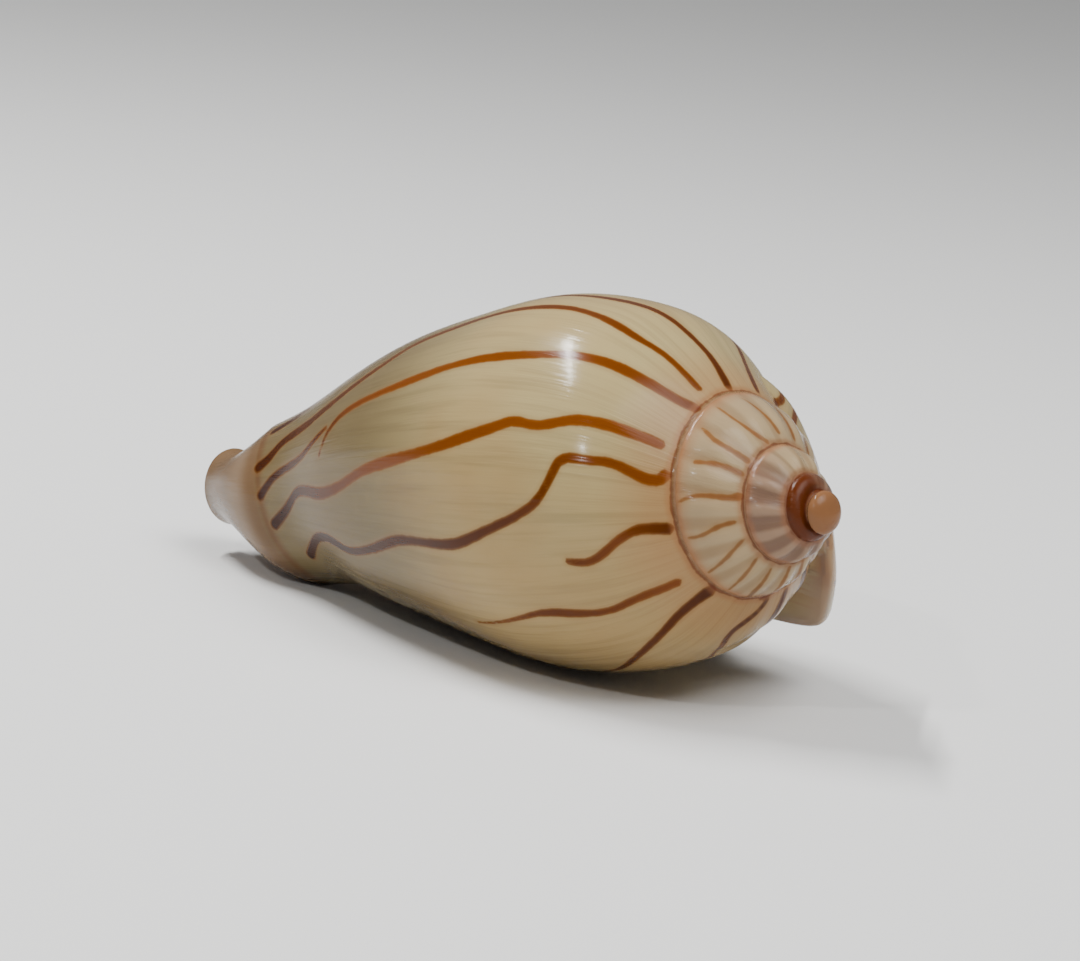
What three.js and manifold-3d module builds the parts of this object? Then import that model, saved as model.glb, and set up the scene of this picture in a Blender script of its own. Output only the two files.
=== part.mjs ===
// Spiral volute shell, millimetres, +Z up, apex toward +X, resting on its aperture.
// The shell is drawn about its own coiling axis and then turned into its resting pose.
// A turn of 0 is the edge of the outer lip, -1 is one whorl back toward the apex.
import * as THREE from 'three';
import { mergeVertices } from 'three/addons/utils/BufferGeometryUtils.js';
import Module from 'manifold-3d';

// Driving dimensions
const SHELL_LENGTH = 45.8;
const ROWS_PER_TURN = 64;
const WALL = 1.2;
const LIP_WALL = 1.7;
const LIP_ROUNDING = 0.014;
const GROWTH = 0.45;
const CAVITY_START = -0.78;
const MOUTH_END = 0.2;
const PLAIT_HEIGHT = 0.55;
const PLAIT_WIDTH = 0.5;
const TIGHT_FOLDS = [12, 0.09];
const WIDE_FOLDS = [18, -0.06];
const FIRST_SHARE = 0.1045;

// Resting pose found from the balance of the solid
const LIP_ROLL = 124.6;
const APEX_RISE = 10.7;

// Suture line: turn, radius and height below the apex
const SUTURE = [
  [-5, 0, -0.45],
  [-4.5, 0.5, -0.5],
  [-4, 0.8, -0.6],
  [-3.5, 1.1, -0.75],
  [-3, 1.42, -1],
  [-2.5, 1.84, -1.5],
  [-2, 2.45, -2.3],
  [-1.5, 3.2, -3.25],
  [-1, 4.1, -4.2],
  [-0.5, 5.65, -6.25],
  [0, 7, -7.65],
];

// Body whorl half a turn back: share of the way to the ridge, radius, growth per turn
const BODY = [
  [0.05, 7.45, 0.37],
  [0.12, 9.12, 0.42],
  [0.22, 10.1, 0.455],
  [0.35, 10.35, 0.46],
  [0.5, 9.5, 0.48],
  [0.65, 8.25, 0.5],
  [0.8, 6.5, 0.28],
  [0.92, 4.95, -0.1],
];

// Ridge above the siphonal band: turn, height, radius, fullness above and below the middle
const RIDGE = [
  [-1, -37.2, 5, 0.8, -0.6],
  [-0.83, -36.6, 5.2, 1.5, -1.3],
  [-0.58, -38.4, 4.5, 1, 0.2],
  [-0.33, -41.1, 3.85, -0.6, -1.9],
  [-0.15, -42.3, 3.6, -0.4, -0.9],
  [0, -43.5, 3.4, 0, 0.2],
];

// Widening of the lip over the last fifth of a turn, by share of the profile
const FLARE = [
  [0, 0],
  [0.06, 0.7],
  [0.12, 0.5],
  [0.15, 0.4],
  [0.21, 0.9],
  [0.3, 1.45],
  [0.6, 0.9],
  [1, 0],
];

// Upper corner of the lip, leaning over the spire: rim point and root point
const WING = [
  [2.1, -1.3, 2.2, -2.3],
  [3.7, -2.3, 3.1, -3.5],
  [5.6, -3.6, 4.4, -5.1],
  [8, -5.3, 6, -7.1],
  [10.35, -7.2, 7.7, -8.9],
  [11.95, -8.6, 9, -9.9],
  [12.9, -9.75, 10, -10.6],
  [13, -10.95, 10.6, -11.4],
  [12.75, -12, 10.9, -12.3],
  [12.35, -13.1, 11.1, -13.3],
  [12.1, -14.2, 11.3, -14.3],
];
const WING_START = -0.27;

// Flatter shoulder ahead of the lip: turn, share, width of each, depth
const SHOULDER = [-0.23, 0.075, 0.13, 0.05, 0.36];

// Inner side of the aperture in the plane of the lip: height and radius
const COLUMELLA = [
  [-8, 7.4],
  [-12, 8.35],
  [-15, 8.5],
  [-18, 8],
  [-21, 6.6],
  [-24, 4.9],
  [-27, 3.6],
  [-30, 2.95],
  [-34, 2.45],
  [-38, 2.1],
  [-42, 1.75],
  [-46, 1.5],
  [-52, 1.4],
];
const PLAITS = [-26.6, -29, -31.4, -33.8];

// Siphonal canal: height, centre distance from the axis, turn of the centre, radius
const CANAL = [
  [-30, 5.4, -0.02, 1.3],
  [-34, 4.1, -0.015, 1.5],
  [-38, 2.9, -0.01, 1.5],
  [-42, 2, 0, 1.4],
  [-46, 1.5, 0.02, 1.35],
  [-49, 1.3, 0.03, 1.45],
];
const TIP_RADIUS = 2.2;
const TIP_SHIFT = 0.1;
const TIP_SHIFT_TURN = -1 / 3;

// Rounded first whorl at the very top
const BALL_SIZE = [0.63, 1.13, 1.13];
const BALL_PLACE = [-0.31, 0, 0];

// Natural cubic curve through points
function curve(xs, ys) {
  const count = xs.length;
  const bend = new Array(count).fill(0);
  const work = new Array(count).fill(0);
  for (let i = 1; i < count - 1; i += 1) {
    const share = (xs[i] - xs[i - 1]) / (xs[i + 1] - xs[i - 1]);
    const pivot = share * bend[i - 1] + 2;
    bend[i] = (share - 1) / pivot;
    const rise = (ys[i + 1] - ys[i]) / (xs[i + 1] - xs[i]);
    const before = (ys[i] - ys[i - 1]) / (xs[i] - xs[i - 1]);
    work[i] = ((6 * (rise - before)) / (xs[i + 1] - xs[i - 1]) - share * work[i - 1]) / pivot;
  }
  bend[count - 1] = 0;
  for (let i = count - 2; i >= 0; i -= 1) {
    bend[i] = bend[i] * bend[i + 1] + work[i];
  }
  return (x) => {
    let i = 0;
    while (i < count - 2 && x > xs[i + 1]) {
      i += 1;
    }
    const span = xs[i + 1] - xs[i];
    const a = (xs[i + 1] - x) / span;
    const b = (x - xs[i]) / span;
    const curl = (a ** 3 - a) * bend[i] + (b ** 3 - b) * bend[i + 1];
    return a * ys[i] + b * ys[i + 1] + (curl * span * span) / 6;
  };
}

const column = (rows, index) => rows.map((row) => row[index]);
const sutureRadius = curve(column(SUTURE, 0), column(SUTURE, 1));
const sutureHeight = curve(column(SUTURE, 0), column(SUTURE, 2));
const ridgeHeight = curve(column(RIDGE, 0), column(RIDGE, 1));
const flareWidth = curve(column(FLARE, 0), column(FLARE, 1));
const ridgeRadius = curve(column(RIDGE, 0), column(RIDGE, 2));
const fullAbove = curve(column(RIDGE, 0), column(RIDGE, 3));
const fullBelow = curve(column(RIDGE, 0), column(RIDGE, 4));
const innerRadius = curve(column(COLUMELLA, 0).map((z) => -z), column(COLUMELLA, 1));

function smooth(x) {
  const t = Math.min(1, Math.max(0, x));
  return t * t * (3 - 2 * t);
}

function roundOff(turn) {
  const t = Math.min(1, Math.max(0, (turn + LIP_ROUNDING) / LIP_ROUNDING));
  return 1 - Math.sqrt(1 - t * t);
}

// Body whorl outline at one turn, from the suture to the ridge
function bodyOutline(turn) {
  const top = sutureHeight(turn);
  const bottom = ridgeHeight(turn);
  const radii = BODY.map(([, radius, growth]) => radius * Math.exp(growth * (turn + 0.5)));
  const outline = curve(
    [0, ...column(BODY, 0), 1], [sutureRadius(turn), ...radii, ridgeRadius(turn)]);
  const open = smooth((turn + 0.2) / 0.2) ** 1.5;
  const [atTurn, atShare, turnWidth, shareWidth, depth] = SHOULDER;
  const dent = depth * Math.exp(-(((turn - atTurn) / turnWidth) ** 2));
  return (share) => [
    outline(share) + open * flareWidth(share)
      - dent * Math.exp(-(((share - atShare) / shareWidth) ** 2)) * smooth(share / 0.03),
    top + (bottom - top) * share,
  ];
}

// Fullness of the siphonal band over a straight line from the ridge to the tip
function bandSwell(turn, share) {
  const rest = 1 - share;
  return 3 * share * rest * (rest * fullAbove(turn) + share * fullBelow(turn));
}

// Outline of a spire whorl between two sutures, with its low axial folds
function spirePoint(turn, share) {
  const from = [sutureRadius(turn), sutureHeight(turn)];
  const to = [sutureRadius(turn + 1), sutureHeight(turn + 1)];
  const dr = to[0] - from[0];
  const dz = to[1] - from[1];
  const bulge = 0.1 + 0.12 * smooth((-2.6 - turn) / 0.8);
  const swell = 4 * bulge * share * (1 - share);
  return [from[0] + dr * share - dz * swell, from[1] + dz * share + dr * swell];
}

function foldHeight(turn) {
  const inner = smooth((turn + 3.1) / 0.3) * smooth((-1.95 - turn) / 0.1);
  const outer = smooth((turn + 2.05) / 0.1) * smooth((-0.7 - turn) / 0.3);
  const tight = Math.cos(2 * Math.PI * TIGHT_FOLDS[0] * turn) * TIGHT_FOLDS[1];
  const wide = Math.cos(2 * Math.PI * WIDE_FOLDS[0] * turn) * WIDE_FOLDS[1];
  return inner * tight + outer * wide;
}

// Moves an outline inward by a distance that may change along it
function inset(points, distance) {
  return points.map((point, i) => {
    const before = points[Math.max(0, i - 1)];
    const after = points[Math.min(points.length - 1, i + 1)];
    const dr = after[0] - before[0];
    const dz = after[1] - before[1];
    const length = Math.hypot(dr, dz);
    const d = distance(i / (points.length - 1));
    return [point[0] + (dz / length) * d, point[1] - (dr / length) * d];
  });
}

function place(radius, height, turn, shift = 0) {
  const angle = 2 * Math.PI * turn;
  const lean = 2 * Math.PI * TIP_SHIFT_TURN;
  const up = radius * Math.cos(angle) + shift * Math.cos(lean);
  const side = radius * Math.sin(angle) + shift * Math.sin(lean);
  return [height, side, up];
}

const wasm = await Module();
wasm.setup();

function solid(vertices, triangles) {
  const geometry = new THREE.BufferGeometry();
  geometry.setAttribute('position', new THREE.Float32BufferAttribute(vertices.flat(), 3));
  geometry.setIndex(triangles.flat());
  const merged = mergeVertices(geometry, 1e-4);
  const index = Array.from(merged.index.array);
  const kept = [];
  for (let i = 0; i < index.length; i += 3) {
    const [a, b, c] = [index[i], index[i + 1], index[i + 2]];
    if (a !== b && b !== c && c !== a) {
      kept.push(a, b, c);
    }
  }
  const mesh = new wasm.Mesh({
    numProp: 3,
    vertProperties: new Float32Array(merged.attributes.position.array),
    triVerts: new Uint32Array(kept),
  });
  return new wasm.Manifold(mesh);
}

// Closed loft through rings that all have the same number of points
function loft(rings) {
  const count = rings[0].length;
  const vertices = rings.flat();
  const triangles = [];
  for (let i = 0; i < rings.length - 1; i += 1) {
    for (let j = 0; j < count; j += 1) {
      const a = i * count + j;
      const b = i * count + ((j + 1) % count);
      triangles.push([a, b, a + count], [b, b + count, a + count]);
    }
  }
  const last = (rings.length - 1) * count;
  for (const [start, ring, flip] of [[0, rings[0], true], [last, rings.at(-1), false]]) {
    const spot = [0, 1, 2].map((k) => ring.reduce((sum, p) => sum + p[k], 0) / count);
    vertices.push(spot);
    const centre = vertices.length - 1;
    for (let j = 0; j < count; j += 1) {
      const a = start + j;
      const b = start + ((j + 1) % count);
      triangles.push(flip ? [centre, b, a] : [centre, a, b]);
    }
  }
  const body = solid(vertices, triangles);
  if (body.volume() > 0) {
    return body;
  }
  return solid(vertices, triangles.map(([a, b, c]) => [a, c, b]));
}

const SPIRE_STEPS = 3;
const BODY_SHARES = [
  0.04, 0.08, 0.13, 0.19, 0.26, 0.34, 0.43, 0.52, 0.61, 0.69, 0.77, 0.85, 0.92, 0.96, 1,
];
const BAND_STEPS = 5;

// Full outline in one half plane, apex to tip
function outerOutline(turn) {
  const points = [];
  for (let whorl = 4; whorl >= 1; whorl -= 1) {
    for (let k = 0; k < SPIRE_STEPS; k += 1) {
      const share = k / SPIRE_STEPS;
      const [r, z] = spirePoint(turn - whorl, share);
      const fold = foldHeight(turn - whorl) * Math.sin(Math.PI * share);
      points.push([r + 0.6 * fold, z + 0.8 * fold, 0]);
    }
  }
  const outline = bodyOutline(turn);
  const body = [];
  const seat = smooth((-0.75 - turn) / 0.25);
  const move = [
    sutureRadius(turn) - sutureRadius(-1),
    sutureHeight(turn) - sutureHeight(-1),
  ];
  for (let k = 0; k <= SPIRE_STEPS; k += 1) {
    const share = k / SPIRE_STEPS;
    const [r, z] = outline(FIRST_SHARE * share);
    const [sr, sz] = spirePoint(-1, share);
    const fold = foldHeight(turn) * Math.sin(Math.PI * share);
    body.push([
      r + (sr + move[0] * (1 - share) - r) * seat + 0.6 * fold,
      z + (sz + move[1] * (1 - share) - z) * seat + 0.8 * fold,
    ]);
  }
  for (const share of BODY_SHARES.filter((value) => value > 0.12)) {
    body.push(outline(share));
  }
  const curl = roundOff(turn) * LIP_WALL * 0.5;
  const curled = inset(body, (along) => curl * smooth((1 - along) / 0.25));
  curled[0] = body[0];
  for (const [r, z] of curled) {
    points.push([r, z, 0]);
  }
  const [ridgeR, ridgeZ] = curled[curled.length - 1];
  for (let k = 1; k <= BAND_STEPS; k += 1) {
    const share = k / BAND_STEPS;
    const r = ridgeR + (TIP_RADIUS - ridgeR) * share + bandSwell(turn, share);
    const z = ridgeZ + (-SHELL_LENGTH + 0.35 - ridgeZ) * share;
    points.push([r, z, TIP_SHIFT * share * share]);
  }
  points.push([TIP_RADIUS * 0.75, -SHELL_LENGTH, TIP_SHIFT]);
  return points;
}

// Outside of all whorls as one closed solid, with a step at the lip
function outerSolid() {
  const rows = [-LIP_ROUNDING, -LIP_ROUNDING * 0.4, -LIP_ROUNDING * 0.1];
  for (let i = 0; i <= ROWS_PER_TURN; i += 1) {
    rows.push(-1 + i / ROWS_PER_TURN);
  }
  rows.sort((a, b) => a - b);
  const rings = rows.map((turn) => outerOutline(turn).map(([r, z, s]) => place(r, z, turn, s)));
  const count = rings[0].length;
  const last = rings.length - 1;
  const seat = 4 * SPIRE_STEPS;
  for (let j = 0; j <= seat; j += 1) {
    rings[last][j] = rings[0][j + SPIRE_STEPS];
  }
  const vertices = [];
  const index = rings.map((ring) => ring.map((p) => vertices.push(p) - 1));
  const apex = vertices.push([SUTURE[0][2], 0, 0]) - 1;
  const tip = vertices.push(place(0, -SHELL_LENGTH, 0, TIP_SHIFT)) - 1;
  const triangles = [];
  for (let i = 0; i < last; i += 1) {
    triangles.push([apex, index[i + 1][0], index[i][0]]);
    for (let j = 0; j < count - 1; j += 1) {
      const [a, b] = [index[i][j], index[i][j + 1]];
      const [c, d] = [index[i + 1][j], index[i + 1][j + 1]];
      triangles.push([a, c, b], [b, c, d]);
    }
    triangles.push([index[i][count - 1], index[i + 1][count - 1], tip]);
  }
  for (let j = 0; j < SPIRE_STEPS; j += 1) {
    triangles.push([apex, index[0][j], index[0][j + 1]]);
  }
  // Step face between the lip and the whorl below it
  let outer = seat;
  let inner = seat + SPIRE_STEPS;
  while (outer < count - 1 || inner < count - 1) {
    const nextOuter = outer < count - 1 ? rings[last][outer + 1][0] : -Infinity;
    const nextInner = inner < count - 1 ? rings[0][inner + 1][0] : -Infinity;
    if (nextOuter >= nextInner) {
      triangles.push([index[last][outer], index[0][inner], index[last][outer + 1]]);
      outer += 1;
    } else {
      triangles.push([index[last][outer], index[0][inner], index[0][inner + 1]]);
      inner += 1;
    }
  }
  const body = solid(vertices, triangles);
  return body.volume() > 0 ? body : solid(vertices, triangles.map(([a, b, c]) => [a, c, b]));
}

// Rounded first whorl at the very top
function tipBall() {
  const ball = new THREE.SphereGeometry(1, 16, 10);
  ball.deleteAttribute('normal');
  ball.deleteAttribute('uv');
  ball.scale(...BALL_SIZE);
  ball.translate(...BALL_PLACE);
  const merged = mergeVertices(ball, 1e-4);
  const spots = Array.from(merged.attributes.position.array);
  const index = Array.from(merged.index.array);
  const vertices = [];
  const triangles = [];
  for (let i = 0; i < spots.length; i += 3) {
    vertices.push(spots.slice(i, i + 3));
  }
  for (let i = 0; i < index.length; i += 3) {
    triangles.push(index.slice(i, i + 3));
  }
  return solid(vertices, triangles);
}

// Upper corner of the lip, leaning over the spire
function wing() {
  const rings = [];
  const span = -WING_START;
  const turns = [-1, -0.85, -0.7, -0.56, -0.43, -0.31, -0.2, -0.1].map((part) => part * span);
  for (const turn of [...turns, -LIP_ROUNDING, -0.006, -0.0015, 0]) {
    const part = (turn + span) / span;
    const sink = 0.6 * (1 - smooth(part / 0.35));
    const curl = 0.5 * LIP_WALL * roundOff(turn);
    const size = Math.exp(GROWTH * turn);
    const rim = WING.map(([r, z, rootR, rootZ]) => {
      const reach = Math.hypot(r - rootR, z - rootZ);
      const grown = part ** 1.75 - Math.min(0.8, curl / reach);
      return [rootR + (r - rootR) * grown, rootZ + (z - rootZ) * grown];
    });
    const root = WING.map(([, , rootR, rootZ]) => [rootR - 0.35, rootZ - 0.35]).reverse();
    rings.push([...rim, ...root].map(
      ([r, z]) => place(size * (r - sink), size * (z - sink), turn)));
  }
  return loft(rings);
}

// Height of the inner wall point and its radius, with the plaits
function innerPoint(turn, height) {
  const size = Math.exp(GROWTH * turn);
  const plain = innerRadius(-height);
  const fade = smooth((MOUTH_END - 0.03 - turn) / 0.1);
  const fold = PLAITS.reduce(
    (sum, z) => sum + Math.exp(-(((height - z) / PLAIT_WIDTH) ** 2)), 0);
  return [size * (plain + PLAIT_HEIGHT * fade * fold), size * height];
}

function innerHeights() {
  const heights = [-12, -14, -16, -18, -20, -22, -24, -25.4];
  for (const z of PLAITS) {
    heights.push(z + 0.6, z, z - 0.6);
    heights.push(z - 1.2);
  }
  heights.push(-37.5, -40.5, -43);
  return heights;
}

// Hollow of the last whorl, opening through the step and past it
function cavity() {
  const turns = [];
  for (let turn = CAVITY_START; turn < -0.06; turn += 0.045) {
    turns.push(turn);
  }
  turns.push(-0.045, -0.025, -LIP_ROUNDING, -0.006, -0.001, 0.004, 0.012);
  for (let turn = 0.03; turn <= MOUTH_END + 0.001; turn += 0.017) {
    turns.push(turn);
  }
  const rings = turns.map((turn) => {
    const inside = Math.min(turn, 0);
    const outline = bodyOutline(inside);
    const shares = [0.07, 0.12, 0.19, 0.28, 0.38, 0.5, 0.62, 0.73, 0.83, 0.92, 1];
    const profile = shares.map((share) => outline(share));
    const lip = smooth((inside + 0.12) / 0.12);
    const wall = WALL + (LIP_WALL - WALL) * lip;
    const rounding = 0.5 * LIP_WALL * roundOff(inside) + smooth(turn / 0.012) * 3;
    const outer = inset(profile, () => wall - rounding);
    const open = smooth(turn / 0.012);
    const close = smooth((CAVITY_START + 0.12 - turn) / 0.12);
    if (open > 0) {
      const end = outer[outer.length - 1];
      end[1] = Math.min(end[1], -49 + 4 * (1 - open));
      end[0] += 2 * open;
    }
    const heights = innerHeights();
    const size = Math.exp(GROWTH * turn);
    const foot = outer[outer.length - 1][1];
    const head = outer[0][1];
    const inner = heights.map((height) => innerPoint(turn, height));
    const fade = smooth((turn - 0.08) / (MOUTH_END - 0.08));
    const skin = bodyOutline(turn - 1);
    const reach = inner.map(([r, z]) => {
      const top = sutureHeight(turn - 1);
      const bottom = ridgeHeight(turn - 1);
      const share = (z - top) / (bottom - top);
      const part = Math.min(1, (z - bottom) / (-SHELL_LENGTH + 0.35 - bottom));
      const swell = share < 1 ? 0 : Math.max(0, bandSwell(turn - 1, part));
      const band = skin(1)[0] + (TIP_RADIUS - skin(1)[0]) * part + swell;
      const over = (share < 1 ? skin(share)[0] : band) + 0.3;
      return turn > 0 ? [r + (Math.max(over, r) - r) * fade, z] : [r, z];
    });
    const limit = reach.map(([r, z]) => [r, Math.max(foot, Math.min(head, z))]);
    const section = [...outer, ...limit.reverse()];
    const middle = [0, 1].map((k) => section.reduce((sum, p) => sum + p[k], 0) / section.length);
    return section.map(([r, z]) => place(
      r + (middle[0] - r) * close * 0.7, z + (middle[1] - z) * close * 0.7, turn));
  });
  return loft(rings);
}

function canal() {
  const sides = 12;
  return loft(CANAL.map(([height, distance, turn, radius]) => {
    const ring = [];
    for (let i = 0; i < sides; i += 1) {
      const angle = (2 * Math.PI * i) / sides;
      const spot = place(distance, height, turn);
      ring.push([spot[0], spot[1] + radius * Math.sin(angle), spot[2] + radius * Math.cos(angle)]);
    }
    return ring;
  }));
}

const outside = outerSolid().add(tipBall()).add(wing());
const hollow = cavity().add(canal());
const shell = outside.subtract(hollow);
const made = shell.getMesh();
const geometry = new THREE.BufferGeometry();
geometry.setAttribute('position', new THREE.Float32BufferAttribute(made.vertProperties, 3));
geometry.setIndex(Array.from(made.triVerts));
geometry.rotateX(THREE.MathUtils.degToRad(-LIP_ROLL));
geometry.rotateY(THREE.MathUtils.degToRad(-APEX_RISE));
geometry.computeBoundingBox();
const box = geometry.boundingBox;
geometry.translate(-(box.min.x + box.max.x) / 2, -(box.min.y + box.max.y) / 2, -box.min.z);
const material = new THREE.MeshStandardMaterial({ color: 0xb9ab88, roughness: 0.3 });
const mesh = new THREE.Mesh(geometry, material);
mesh.name = 'shell';
const group = new THREE.Group();
group.add(mesh);
export default group;
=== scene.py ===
"""Looks of a striped volute shell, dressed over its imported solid.

The shell is drawn about its own coiling axis, in millimetres, and then turned into the pose
in which it rests.  A turn of 0 is the edge of the outer lip and -1 is one whorl back toward
the apex.  A share runs along the body whorl from the suture (0) to the ridge above the
siphonal band (1), and on to the tip (2).
"""

import logging
import math
from dataclasses import dataclass
from enum import Enum

import bpy
import numpy as np
from mathutils import Matrix, Vector
from mathutils.kdtree import KDTree


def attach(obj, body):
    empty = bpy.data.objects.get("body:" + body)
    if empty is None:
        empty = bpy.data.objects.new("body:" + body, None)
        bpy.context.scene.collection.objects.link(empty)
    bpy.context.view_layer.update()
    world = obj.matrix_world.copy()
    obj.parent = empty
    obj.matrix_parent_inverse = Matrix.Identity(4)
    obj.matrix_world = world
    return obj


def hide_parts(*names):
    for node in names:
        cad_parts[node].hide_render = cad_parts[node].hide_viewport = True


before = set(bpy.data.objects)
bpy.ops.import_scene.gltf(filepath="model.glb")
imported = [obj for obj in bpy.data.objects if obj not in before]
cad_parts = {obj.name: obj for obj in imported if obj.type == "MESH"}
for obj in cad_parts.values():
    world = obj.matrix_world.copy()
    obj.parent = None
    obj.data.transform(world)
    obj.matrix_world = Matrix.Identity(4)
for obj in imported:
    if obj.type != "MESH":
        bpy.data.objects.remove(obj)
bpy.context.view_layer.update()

LOG = logging.getLogger("volute")
MM = 0.001
Profile = np.ndarray
Numbers = np.ndarray | float
Piece = bpy.types.Object
Link = bpy.types.NodeSocket


# Curves and small helpers


class SmoothCurve:
    """A natural cubic curve through a few chosen points."""

    def __init__(self, xs: np.ndarray, ys: np.ndarray) -> None:
        """Work out the bends of the curve.

        Args:
            xs: Places of the points, rising.
            ys: Values at the points.
        """
        self.xs = xs
        self.ys = ys
        count = len(xs)
        gaps = np.diff(xs)
        rises = np.diff(ys) / gaps
        system = np.eye(count)
        right = np.zeros(count)
        for i in range(1, count - 1):
            system[i, i - 1:i + 2] = gaps[i - 1], 2 * (gaps[i - 1] + gaps[i]), gaps[i]
            right[i] = 6 * (rises[i] - rises[i - 1])
        self.bends = np.linalg.solve(system, right)

    def __call__(self, where: Numbers) -> np.ndarray:
        """Read the curve.

        Args:
            where: Places along the curve.

        Returns:
            The values there.
        """
        where = np.asarray(where, float)
        i = np.clip(np.searchsorted(self.xs, where) - 1, 0, len(self.xs) - 2)
        gap = self.xs[i + 1] - self.xs[i]
        a = (self.xs[i + 1] - where) / gap
        b = (where - self.xs[i]) / gap
        curl = (a ** 3 - a) * self.bends[i] + (b ** 3 - b) * self.bends[i + 1]
        return a * self.ys[i] + b * self.ys[i + 1] + curl * gap * gap / 6


def curves(points: tuple) -> "list[SmoothCurve]":
    """Return a curve through each further column of a table whose first column rises."""
    table = np.array(points, float)
    return [SmoothCurve(table[:, 0], column) for column in table[:, 1:].T]


def smooth(x: Numbers) -> np.ndarray:
    """Return an S-shaped step from 0 to 1 as x goes from 0 to 1."""
    t = np.clip(x, 0, 1)
    return t * t * (3 - 2 * t)


def inset(points: Profile, distance: Numbers) -> Profile:
    """Move an outline inward.

    Args:
        points: Radius and height of each point.
        distance: How far, in millimetres, one value or one for each point.

    Returns:
        The moved outline.
    """
    along = np.empty_like(points)
    along[1:-1] = points[2:] - points[:-2]
    along[0] = points[1] - points[0]
    along[-1] = points[-1] - points[-2]
    along /= np.linalg.norm(along, axis=1, keepdims=True)
    inward = np.stack([along[:, 1], -along[:, 0]], axis=1)
    return points + inward * np.reshape(distance, (-1, 1))


# The shape of the shell


@dataclass(frozen=True)
class Folds:
    """Low ribs across the whorls, which rise and fall off at two turns."""

    count: int
    height: float
    start: float
    rise: float
    end: float
    fall: float

    def at(self, turn: float) -> float:
        """Return the height of the ribs at a turn."""
        fade = smooth((turn - self.start) / self.rise) * smooth((self.end - turn) / self.fall)
        return float(fade) * self.height * math.cos(2 * math.pi * self.count * turn)


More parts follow.
